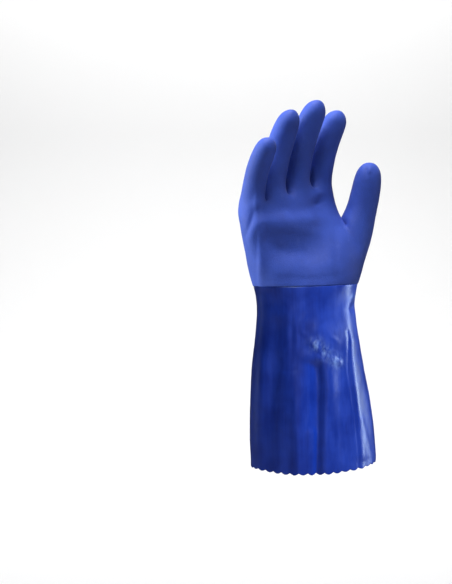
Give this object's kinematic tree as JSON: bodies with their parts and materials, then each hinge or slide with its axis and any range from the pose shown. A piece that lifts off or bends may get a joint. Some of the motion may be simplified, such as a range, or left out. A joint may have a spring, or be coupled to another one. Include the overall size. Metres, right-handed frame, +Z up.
{
  "type": "pvc coated work glove",
  "caption": "Gauntlet work glove for the right hand, dipped in PVC, with a matt hand coating and a long glossy cuff that ends in a pinked hem.",
  "frame": {"origin": "the middle of the cuff's mouth, level with the lowest teeth of the pinked hem, where a forearm goes in", "axes": "+Z runs up the forearm from the hem to the fingertips, +X points to the thumb's side, and the palm faces -Y, turned towards +X by about 35 degrees at the knuckles"},
  "size_m": [0.1365, 0.0947, 0.3462],
  "materials": {
    "gauntlet": "smooth glossy royal blue soft PVC",
    "hand_coating": "matt mid blue soft PVC with a fine sandy grain"
  },
  "bodies": {
    "root": {"gauntlet": "gauntlet", "hand_coating": "hand_coating"}
  },
  "joints": []
}
